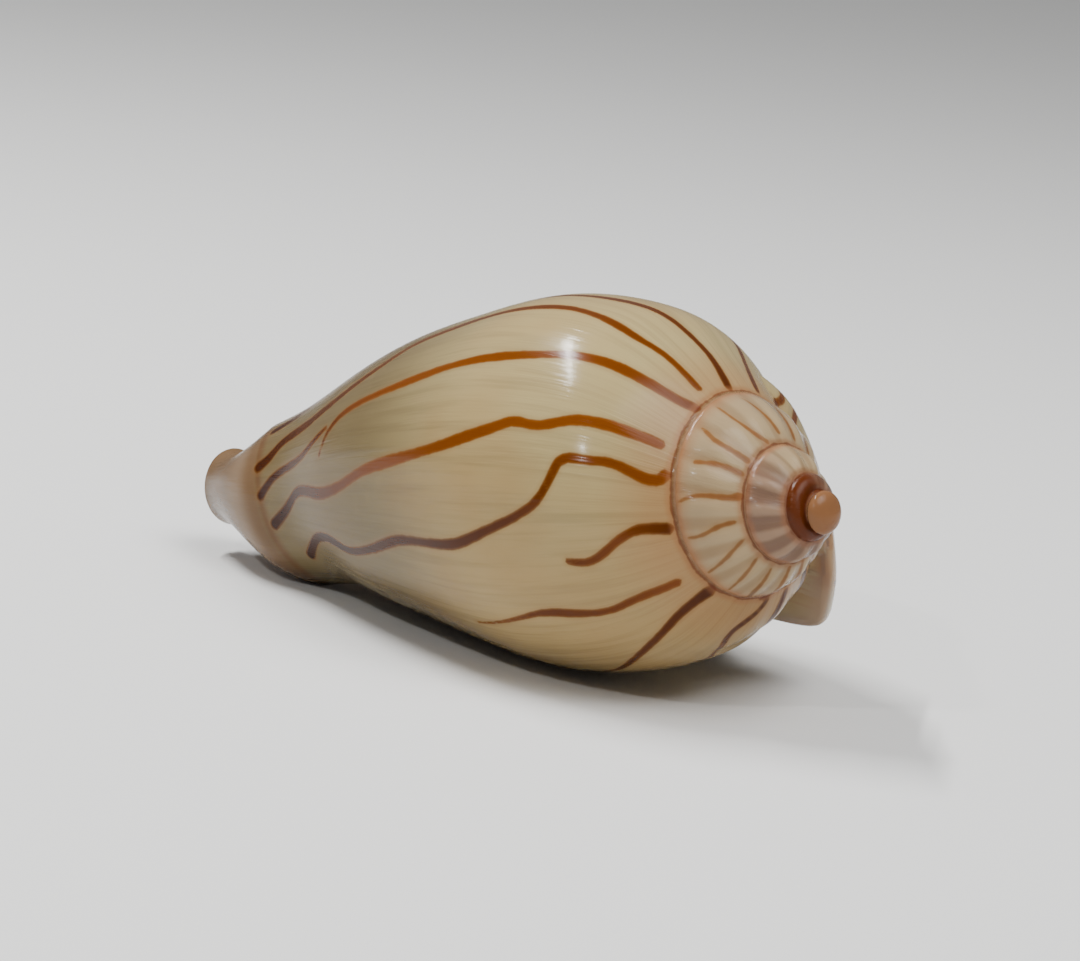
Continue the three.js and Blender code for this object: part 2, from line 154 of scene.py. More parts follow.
@dataclass
class ShellForm:
    """Sizes of the shell and the outlines that follow from them, in millimetres and turns."""

    length: float = 45.8
    growth: float = 0.45
    wall: float = 1.2
    # Outer lip
    lip_wall: float = 1.7
    lip_thickening: float = 0.12
    lip_rounding: float = 0.014
    lip_steps: tuple = (1, 0.7, 0.45, 0.25, 0.12, 0.04)
    lip_start: float = -0.02
    flare_start: float = -0.2
    flare_power: float = 1.5
    # Hollow, and the mouth past the lip with its deepest point and how far that rises
    cavity_start: float = -0.78
    cavity_taper: float = 0.12
    cavity_narrowing: float = 0.7
    cavity_share: float = 0.07
    mouth_turns: tuple = (0.002, 0.006, 0.012)
    mouth_start: float = 0.016
    mouth_end: float = 0.2
    mouth_reach: float = 3
    mouth_tail: float = 0.92
    mouth_flare: float = 2
    mouth_floor: tuple = (49, 4)
    mouth_widening: float = 0.08
    mouth_clearance: float = 0.3
    # Columella: stretches of depth with their number of points, and its plaits
    columella_steps: tuple = ((12, 24.5, 18), (24.5, 37, 76), (37, 43, 10))
    plait_depths: tuple = (26.6, 29, 31.4, 33.8)
    plait_height: float = 0.55
    plait_width: float = 0.5
    plait_fade: tuple = (0.03, 0.1)
    # Spire: least bulge, further bulge, the turn where it begins and over how many turns
    apex_turn: float = -5
    spire_bulge: tuple = (0.1, 0.12, -2.6, 0.8)
    tight_folds: Folds = Folds(12, 0.09, -3.1, 0.3, -1.95, 0.1)
    wide_folds: Folds = Folds(18, -0.06, -2.05, 0.1, -0.7, 0.3)
    fold_lean: tuple = (0.6, 0.8)
    seat_end: float = -0.75
    first_share: float = 0.1045
    # Shallow dent below the shoulder: its turn, share, width in turns and in share, depth
    shoulder: tuple = (-0.23, 0.075, 0.13, 0.05, 0.36)
    shoulder_start: float = 0.03
    # Upper corner of the lip
    wing_start: float = -0.27
    wing_power: float = 1.75
    wing_sink: float = 0.6
    wing_sink_end: float = 0.35
    wing_overlap: float = 0.35
    wing_curl: float = 0.8
    # First whorl and siphonal tip
    ball_size: tuple = (0.63, 1.13, 1.13)
    ball_place: tuple = (-0.31, 0, 0)
    tip_radius: float = 2.2
    tip_bevel: float = 0.35
    tip_shift: float = 0.1
    tip_shift_turn: float = -1 / 3
    # Resting pose
    lip_roll: float = 124.6
    apex_rise: float = 10.7
    resting_place: tuple = (22.4955, -1.7308, 12.017)
    # Turn, radius and height of the suture
    suture: tuple = (
        (-5, 0, -0.45), (-4.5, 0.5, -0.5), (-4, 0.8, -0.6), (-3.5, 1.1, -0.75),
        (-3, 1.42, -1), (-2.5, 1.84, -1.5), (-2, 2.45, -2.3), (-1.5, 3.2, -3.25),
        (-1, 4.1, -4.2), (-0.5, 5.65, -6.25), (0, 7, -7.65),
    )
    # Share, radius half a turn behind the lip and growth of the body whorl
    body_turn: float = -0.5
    body: tuple = (
        (0.05, 7.45, 0.37), (0.12, 9.12, 0.42), (0.22, 10.1, 0.455), (0.35, 10.35, 0.46),
        (0.5, 9.5, 0.48), (0.65, 8.25, 0.5), (0.8, 6.5, 0.28), (0.92, 4.95, -0.1),
    )
    # Turn, height and radius of the ridge, and fullness of the band below it
    ridge: tuple = (
        (-1, -37.2, 5, 0.8, -0.6), (-0.83, -36.6, 5.2, 1.5, -1.3),
        (-0.58, -38.4, 4.5, 1, 0.2), (-0.33, -41.1, 3.85, -0.6, -1.9),
        (-0.15, -42.3, 3.6, -0.4, -0.9), (0, -43.5, 3.4, 0, 0.2),
    )
    # Share and widening of the lip
    flare: tuple = (
        (0, 0), (0.06, 0.7), (0.12, 0.5), (0.15, 0.4),
        (0.21, 0.9), (0.3, 1.45), (0.6, 0.9), (1, 0),
    )
    # Radius and height of the corner's rim and of its root
    wing: tuple = (
        (2.1, -1.3, 2.2, -2.3), (3.7, -2.3, 3.1, -3.5), (5.6, -3.6, 4.4, -5.1),
        (8, -5.3, 6, -7.1), (10.35, -7.2, 7.7, -8.9), (11.95, -8.6, 9, -9.9),
        (12.9, -9.75, 10, -10.6), (13, -10.95, 10.6, -11.4), (12.75, -12, 10.9, -12.3),
        (12.35, -13.1, 11.1, -13.3), (12.1, -14.2, 11.3, -14.3),
    )
    # Depth below the apex and radius of the columella
    columella: tuple = (
        (8, 7.4), (12, 8.35), (15, 8.5), (18, 8), (21, 6.6), (24, 4.9), (27, 3.6),
        (30, 2.95), (34, 2.45), (38, 2.1), (42, 1.75), (46, 1.5), (52, 1.4),
    )
    # Depth, radius, turn and half width of the siphonal canal
    canal: tuple = (
        (30, 5.4, -0.02, 1.3), (34, 4.1, -0.015, 1.5), (38, 2.9, -0.01, 1.5),
        (42, 2, 0, 1.4), (46, 1.5, 0.02, 1.35), (49, 1.3, 0.03, 1.45),
    )

    def __post_init__(self) -> None:
        """Make the curves through the chosen points."""
        self.suture_radius, self.suture_height = curves(self.suture)
        (self.ridge_height, self.ridge_radius,
         self.full_above, self.full_below) = curves(self.ridge)
        (self.flare_width,) = curves(self.flare)
        (self.inner_radius,) = curves(self.columella)

    def lip_turns(self) -> np.ndarray:
        """Return the turns of the rows along the rounding of the lip."""
        return -self.lip_rounding * np.array(self.lip_steps)

    def round_off(self, turn: float) -> float:
        """Return how far the edge of the lip has curled in at a turn."""
        t = min(1.0, max(0.0, (turn + self.lip_rounding) / self.lip_rounding))
        return 0.5 * self.lip_wall * (1 - math.sqrt(1 - t * t))

    def body_outline(self, turn: float, share: np.ndarray) -> Profile:
        """Return radius and height of the body whorl from suture to ridge.

        Args:
            turn: Turn of the half plane.
            share: Shares of the way, 0 at the suture and 1 at the ridge.

        Returns:
            One row of radius and height for each share.
        """
        body = np.array(self.body)
        radii = body[:, 1] * np.exp(body[:, 2] * (turn - self.body_turn))
        outline = SmoothCurve(
            np.r_[0, body[:, 0], 1],
            np.r_[self.suture_radius(turn), radii, self.ridge_radius(turn)])
        widening = smooth(1 - turn / self.flare_start) ** self.flare_power
        top = self.suture_height(turn)
        bottom = self.ridge_height(turn)
        at_turn, at_share, turn_width, share_width, depth = self.shoulder
        dent = depth * math.exp(-(((turn - at_turn) / turn_width) ** 2))
        dent = dent * np.exp(-(((share - at_share) / share_width) ** 2))
        dent = dent * smooth(share / self.shoulder_start)
        radius = outline(share) + widening * self.flare_width(share) - dent
        return np.stack([radius, top + (bottom - top) * share], axis=1)

    def band_swell(self, turn: float, share: np.ndarray) -> np.ndarray:
        """Return the fullness of the siphonal band over a straight line to the tip.

        Args:
            turn: Turn of the half plane.
            share: Shares of the way, 0 at the ridge and 1 at the tip.

        Returns:
            Added radius for each share.
        """
        rest = 1 - share
        fullness = rest * self.full_above(turn) + share * self.full_below(turn)
        return 3 * share * rest * fullness

    def spire_outline(self, turn: float, share: np.ndarray) -> Profile:
        """Return the outline of a spire whorl between two sutures, without its folds.

        Args:
            turn: Turn of the upper suture.
            share: Shares of the way to the next suture.

        Returns:
            One row of radius and height for each share.
        """
        start = np.array([self.suture_radius(turn), self.suture_height(turn)])
        end = np.array([self.suture_radius(turn + 1), self.suture_height(turn + 1)])
        chord = end - start
        least, more, from_turn, over = self.spire_bulge
        bulge = least + more * smooth((from_turn - turn) / over)
        swell = (4 * bulge * share * (1 - share))[:, None]
        return start + chord * share[:, None] + swell * np.array([-chord[1], chord[0]])

    def folded(self, points: Profile, turn: float, share: np.ndarray) -> Profile:
        """Raise the axial folds of the spire on an outline.

        Args:
            points: Radius and height of each point.
            turn: Turn of the half plane.
            share: Shares of the way across the folds.

        Returns:
            The outline with its folds.
        """
        height = (self.tight_folds.at(turn) + self.wide_folds.at(turn)) * np.sin(np.pi * share)
        return points + height[:, None] * np.array(self.fold_lean)

    def place(self, points: Profile, turn: Numbers,
              shift: Numbers = 0.0) -> np.ndarray:
        """Put radius and height into space about the coiling axis.

        Args:
            points: Radius and height in the last axis.
            turn: Turn of each point.
            shift: Sideways lean of the siphonal tip.

        Returns:
            Points in space, before the resting pose.
        """
        angle = 2 * np.pi * np.asarray(turn)
        lean = 2 * np.pi * self.tip_shift_turn
        side = points[..., 0] * np.sin(angle) + shift * np.sin(lean)
        up = points[..., 0] * np.cos(angle) + shift * np.cos(lean)
        return np.stack([points[..., 1], side, up], axis=-1)


class Trait(Enum):
    """Values that each point of the shell carries for its finish."""

    TURN = "turn"
    SHARE = "share"
    STRIPE = "stripe"
    DEPTH = "stripe_depth"
    SEAM = "seam"
    INSIDE = "inside"


@dataclass
class OuterSkin:
    """Outside of all whorls as rows of points, with the turn and share of each point."""

    form: ShellForm
    rows_per_turn: int = 360
    spire_whorls: int = 4
    spire_steps: int = 14
    body_steps: int = 92
    band_steps: int = 18
    tip_steps: int = 5
    tip_flat: float = 0.75
    curled_part: float = 0.25

    @staticmethod
    def rows(*columns: Numbers) -> np.ndarray:
        """Return rows of radius, height, lean, turn and share from numbers or columns."""
        return np.column_stack(np.broadcast_arrays(*columns))

    def body_points(self, turn: float) -> "tuple[Profile, np.ndarray]":
        """Return the outline of the body whorl, seated on the spire and curled at the lip.

        Args:
            turn: Turn of the half plane.

        Returns:
            Radius and height of the points, and their shares.
        """
        form = self.form
        first = np.arange(self.spire_steps + 1) / self.spire_steps
        own = form.body_outline(turn, form.first_share * first)
        seated = form.spire_outline(-1.0, first)
        seated = seated + (own[0] - seated[0]) * (1 - first)[:, None]
        seat = smooth((form.seat_end - turn) / (1 + form.seat_end))
        own = form.folded(own + (seated - own) * seat, turn, first)
        share = np.linspace(form.first_share, 1, self.body_steps + 1)[1:]
        body = np.vstack([own, form.body_outline(turn, share)])
        along = np.linspace(0, 1, len(body))
        curled = inset(body, form.round_off(turn) * smooth((1 - along) / self.curled_part))
        curled[0] = body[0]
        return curled, np.r_[form.first_share * first, share]

    def outline(self, turn: float) -> np.ndarray:
        """Return one half plane of the outside, apex to tip.

        Args:
            turn: Turn of the half plane, -1 to 0.

        Returns:
            Rows of radius, height, lean, turn and share.
        """
        form = self.form
        step = np.arange(self.spire_steps) / self.spire_steps
        apex = form.suture_height(form.apex_turn)
        rows = [self.rows(0, apex, 0, turn - self.spire_whorls, 0)]
        for whorl in range(self.spire_whorls, 0, -1):
            older = turn - whorl
            points = form.folded(form.spire_outline(older, step), older, step)
            rows.append(self.rows(*points.T, 0, older, step))
        body, shares = self.body_points(turn)
        rows.append(self.rows(*body.T, 0, turn, shares))
        part = np.arange(1, self.band_steps + 1) / self.band_steps
        radius = body[-1, 0] + (form.tip_radius - body[-1, 0]) * part
        radius = radius + form.band_swell(turn, part)
        height = body[-1, 1] + (form.tip_bevel - form.length - body[-1, 1]) * part
        rows.append(self.rows(radius, height, form.tip_shift * part ** 2, turn, 1 + part))
        rounding = np.linspace(0, np.pi / 2, self.tip_steps + 1)[1:]
        radius = form.tip_radius * (self.tip_flat + (1 - self.tip_flat) * np.cos(rounding))
        height = form.tip_bevel * (1 - np.sin(rounding)) - form.length
        rows.append(self.rows(radius, height, form.tip_shift, turn, 2))
        rows.append(self.rows(0, -form.length, form.tip_shift, turn, 2))
        return np.vstack(rows)

    def turns(self) -> np.ndarray:
        """Return the turns of the rows, closer together at the rounded lip."""
        even = np.linspace(-1, 0, self.rows_per_turn + 1)
        return np.unique(np.round(np.r_[even, self.form.lip_turns()[1:]], 6))

    def grid(self) -> "tuple[np.ndarray, np.ndarray]":
        """Put all rows into space.

        Returns:
            The points, and the turn and share of each.
        """
        turns = self.turns()
        table = np.stack([self.outline(turn) for turn in turns])
        return self.form.place(table[..., :2], turns[:, None], table[..., 2]), table[..., 3:]


# Modelling by hand


class Bench:
    """Blender operators in the order in which a modeller would use them."""

    @staticmethod
    def clear() -> None:
        """Leave edit mode and deselect everything."""
        if bpy.context.object and bpy.context.object.mode != "OBJECT":
            bpy.ops.object.mode_set(mode="OBJECT")
        bpy.ops.object.select_all(action="DESELECT")

    @staticmethod
    def pick(piece: Piece) -> None:
        """Make one object the only selected and active one.

        Args:
            piece: The object.
        """
        Bench.clear()
        piece.select_set(True)
        bpy.context.view_layer.objects.active = piece

    @staticmethod
    def pull(piece: Piece, points: np.ndarray) -> None:
        """Pull every point of a mesh to its place, in metres."""
        piece.data.vertices.foreach_set("co", points.astype(np.float32).ravel())
        piece.data.update()

    @staticmethod
    def sheet(name: str, points: np.ndarray) -> Piece:
        """Add a grid and pull its points to their places.

        Args:
            name: Name of the object.
            points: Rows and columns of points, in metres.

        Returns:
            The sheet.
        """
        rows, columns = points.shape[:2]
        Bench.clear()
        bpy.ops.mesh.primitive_grid_add(
            x_subdivisions=columns - 1, y_subdivisions=rows - 1, size=2 * MM)
        piece = bpy.context.object
        piece.name = name
        Bench.pull(piece, points)
        return piece

    @staticmethod
    def close(piece: Piece, gap: float = 2e-7) -> None:
        """Weld the seams of a sheet, fill its holes and turn its faces outward.

        Args:
            piece: The sheet.
            gap: Points that are closer than this, in metres, become one.
        """
        Bench.pick(piece)
        bpy.ops.object.mode_set(mode="EDIT")
        bpy.ops.mesh.select_mode(type="VERT")
        bpy.ops.mesh.select_all(action="SELECT")
        bpy.ops.mesh.remove_doubles(threshold=gap)
        bpy.ops.mesh.dissolve_degenerate(threshold=gap)
        bpy.ops.mesh.select_all(action="SELECT")
        bpy.ops.mesh.fill_holes(sides=0)
        bpy.ops.mesh.select_all(action="SELECT")
        bpy.ops.mesh.quads_convert_to_tris(quad_method="SHORTEST_DIAGONAL", ngon_method="BEAUTY")
        bpy.ops.mesh.normals_make_consistent(inside=False)
        bpy.ops.object.mode_set(mode="OBJECT")

    @staticmethod
    def combine(piece: Piece, tool: Piece, operation: str) -> None:
        """Join or cut one closed mesh with another and delete the other.

        Args:
            piece: Mesh that is kept.
            tool: Mesh that is joined to it or cut from it.
            operation: UNION or DIFFERENCE.
        """
        Bench.pick(piece)
        modifier = piece.modifiers.new(operation.lower(), "BOOLEAN")
        modifier.operation = operation
        modifier.solver = "MANIFOLD"
        modifier.object = tool
        bpy.ops.object.modifier_apply(modifier=modifier.name)
        bpy.data.objects.remove(tool, do_unlink=True)


@dataclass
class ShellBody:
    """The whole shell as one closed mesh, with the number of points of each part."""

    form: ShellForm
    skin: OuterSkin
    ball_rings: int = 24
    wing_points: int = 40
    wing_rings: int = 60
    hollow_points: int = 60
    hollow_rings: int = 130
    mouth_rings: int = 70
    siphon_points: int = 48
    siphon_rings: int = 40
    smooth_angle: float = 40

    def posed(self, points: np.ndarray) -> np.ndarray:
        """Turn points into the resting pose.

        Args:
            points: Points about the coiling axis, in millimetres.

        Returns:
            The turned points.
        """
        pose = (Matrix.Rotation(math.radians(-self.form.apex_rise), 3, "Y")
                @ Matrix.Rotation(math.radians(-self.form.lip_roll), 3, "X"))
        return points @ np.array(pose).T

    def outside(self) -> Piece:
        """Model the outside of all whorls, with its step at the lip.

        Returns:
            The closed mesh.
        """
        points, _ = self.skin.grid()
        steps, tip = self.skin.spire_steps, self.skin.tip_steps + 2
        seat = self.skin.spire_whorls * steps
        points[-1, 1:seat + 2] = points[0, steps + 1:seat + steps + 2]
        points[-1, -tip:] = points[0, -tip:]
        piece = Bench.sheet("shell_outside", self.posed(points) * MM)
        Bench.close(piece)
        return piece

    def tip_ball(self) -> Piece:
        """Model the rounded first whorl at the very top.

        Returns:
            The closed mesh.
        """
        Bench.clear()
        bpy.ops.mesh.primitive_uv_sphere_add(
            segments=2 * self.ball_rings, ring_count=self.ball_rings, radius=1.0)
        ball = bpy.context.object
        ball.name = "tip_ball"
        points = np.array([v.co[:] for v in ball.data.vertices])
        points = points * np.array(self.form.ball_size) + np.array(self.form.ball_place)
        Bench.pull(ball, self.posed(points) * MM)
        Bench.close(ball)
        return ball

    def loft(self, name: str, rings: np.ndarray) -> Piece:
        """Close a tube through rings of points.

        Args:
            name: Name of the object.
            rings: Rings of points in millimetres, before the resting pose.

        Returns:
            The closed tube.
        """
        rings = np.concatenate([rings, rings[:, :1]], axis=1)
        piece = Bench.sheet(name, self.posed(rings) * MM)
        Bench.close(piece)
        return piece

    def wing_rows(self) -> "tuple[np.ndarray, np.ndarray]":
        """Draw the upper corner of the lip.

        Returns:
            Its rings of points before the resting pose, and the turn of each ring.
        """
        form = self.form
        corner = np.array(form.wing)
        place = np.linspace(0, 1, len(corner))
        fine = np.linspace(0, 1, self.wing_points)
        edge = np.stack([SmoothCurve(place, column)(fine) for column in corner.T], axis=1)
        rim, foot = edge[:, :2], edge[:, 2:]
        reach = np.linalg.norm(rim - foot, axis=1)[:, None]
        even = np.linspace(form.wing_start, form.lip_start, self.wing_rings)
        turns = np.r_[even, form.lip_turns(), 0]
        rings = []
        for turn in turns:
            part = max(0.0, 1 - turn / form.wing_start)
            sink = form.wing_sink * (1 - float(smooth(part / form.wing_sink_end)))
            curled = np.minimum(form.wing_curl, form.round_off(turn) / reach)
            grown = part ** form.wing_power - curled
            ring = np.vstack([foot + (rim - foot) * grown, (foot - form.wing_overlap)[::-1]])
            rings.append(form.place(math.exp(form.growth * turn) * (ring - sink), turn))
        return np.array(rings), turns

    def wing(self) -> Piece:
        """Return the upper corner of the lip that leans over the spire."""
        return self.loft("lip_corner", self.wing_rows()[0])

    def inner_wall(self, turn: float) -> Profile:
        """Return the columella side of the hollow, with its plaits.

        Args:
            turn: Turn of the section; past 0 the wall moves out of the mouth.

        Returns:
            Radius and height of each point, top to bottom.
        """
        form = self.form
        size = math.exp(form.growth * turn)
        depth = np.unique(np.concatenate([np.linspace(*steps) for steps in form.columella_steps]))
        before, over = form.plait_fade
        fade = float(smooth((form.mouth_end - before - turn) / over))
        fold = sum(np.exp(-(((depth - at) / form.plait_width) ** 2)) for at in form.plait_depths)
        radius = size * (form.inner_radius(depth) + form.plait_height * fade * fold)
        wall = np.stack([radius, -size * depth], axis=1)
        if turn <= 0:
            return wall
        top = form.suture_height(turn - 1)
        bottom = form.ridge_height(turn - 1)
        share = (wall[:, 1] - top) / (bottom - top)
        level = form.body_outline(turn - 1, np.minimum(share, 1))[:, 0]
        part = (wall[:, 1] - bottom) / (form.tip_bevel - form.length - bottom)
        part = np.clip(part, 0, 1)
        band = level + (form.tip_radius - level) * part
        band = band + np.maximum(0, form.band_swell(turn - 1, part))
        clear = np.maximum(np.where(share > 1, band, level) + form.mouth_clearance, radius)
        moved = smooth((turn - form.mouth_widening) / (form.mouth_end - form.mouth_widening))
        wall[:, 0] += (clear - radius) * moved
        return wall

    def hollow_ring(self, turn: float) -> np.ndarray:
        """Return one closed section of the hollow of the last whorl.

        Args:
            turn: Turn of the section; past 0 it lies outside the lip.

        Returns:
            Points in space, before the resting pose.
        """
        form = self.form
        inside = min(turn, 0.0)
        share = np.linspace(form.cavity_share, 1, self.hollow_points)
        lip = float(smooth((inside + form.lip_thickening) / form.lip_thickening))
        opened = float(smooth(turn / form.mouth_turns[-1]))
        wall = form.wall + (form.lip_wall - form.wall) * lip
        rounding = form.round_off(inside) + opened * form.mouth_reach
        outer = inset(form.body_outline(inside, share), wall - rounding)
        if opened > 0:
            deepest, lift = form.mouth_floor
            floor = min(outer[-1, 1], lift * (1 - opened) - deepest)
            tail = smooth((share - form.mouth_tail) / (1 - form.mouth_tail))
            outer[:, 1] += tail * (floor - outer[-1, 1])
            outer[:, 0] += tail * form.mouth_flare * opened
        inner = self.inner_wall(turn)
        inner[:, 1] = np.clip(inner[:, 1], outer[-1, 1], outer[0, 1])
        ring = np.vstack([outer, inner[::-1]])
        narrow = float(smooth((form.cavity_start + form.cavity_taper - turn) / form.cavity_taper))
        middle = ring.mean(axis=0)
        return form.place(ring + (middle - ring) * form.cavity_narrowing * narrow, turn)

    def hollow(self) -> Piece:
        """Model the hollow of the last whorl, which opens past the lip.

        Returns:
            The closed cutter.
        """
        form = self.form
        even = np.linspace(form.cavity_start, form.lip_start, self.hollow_rings)
        past = np.linspace(form.mouth_start, form.mouth_end, self.mouth_rings)
        turns = np.r_[even, form.lip_turns(), form.mouth_turns, past]
        return self.loft("hollow", np.array([self.hollow_ring(turn) for turn in turns]))

    def siphon(self) -> Piece:
        """Model the siphonal canal.

        Returns:
            The closed cutter.
        """
        canal = self.form.canal
        depths = np.linspace(canal[0][0], canal[-1][0], self.siphon_rings)
        angle = np.linspace(0, 2 * np.pi, self.siphon_points + 1)[:-1]
        rings = []
        for depth, *row in zip(depths, *(curve(depths) for curve in curves(canal))):
            distance, turn, radius = row
            circle = np.stack([0 * angle, radius * np.sin(angle), radius * np.cos(angle)], axis=1)
            rings.append(self.form.place(np.array([distance, -depth]), turn) + circle)
        return self.loft("siphon", np.array(rings))

    def build(self) -> Piece:
        """Join and cut the parts of the shell, put it on the floor and smooth its shading.

        Returns:
            The finished mesh object.
        """
        shell = self.outside()
        Bench.combine(shell, self.tip_ball(), "UNION")
        Bench.combine(shell, self.wing(), "UNION")
        Bench.combine(shell, self.hollow(), "DIFFERENCE")
        Bench.combine(shell, self.siphon(), "DIFFERENCE")
        shell.name = "volute_shell"
        shell.data.transform(Matrix.Translation(Vector(self.form.resting_place) * MM))
        Bench.pick(shell)
        bpy.ops.object.shade_smooth_by_angle(angle=math.radians(self.smooth_angle))
        LOG.info("shell: %d faces", len(shell.data.polygons))
        return shell


# Stripes and the values that the finish reads


@dataclass(frozen=True)
class Stripe:
    """One brown line, drawn as shares and turns from one end to the other.

    Width is half the width in millimetres, and depth runs from light orange (0) to dark
    brown (1); each is given at the start, the middle and the end.
    """

    path: tuple
    width: tuple
    depth: tuple


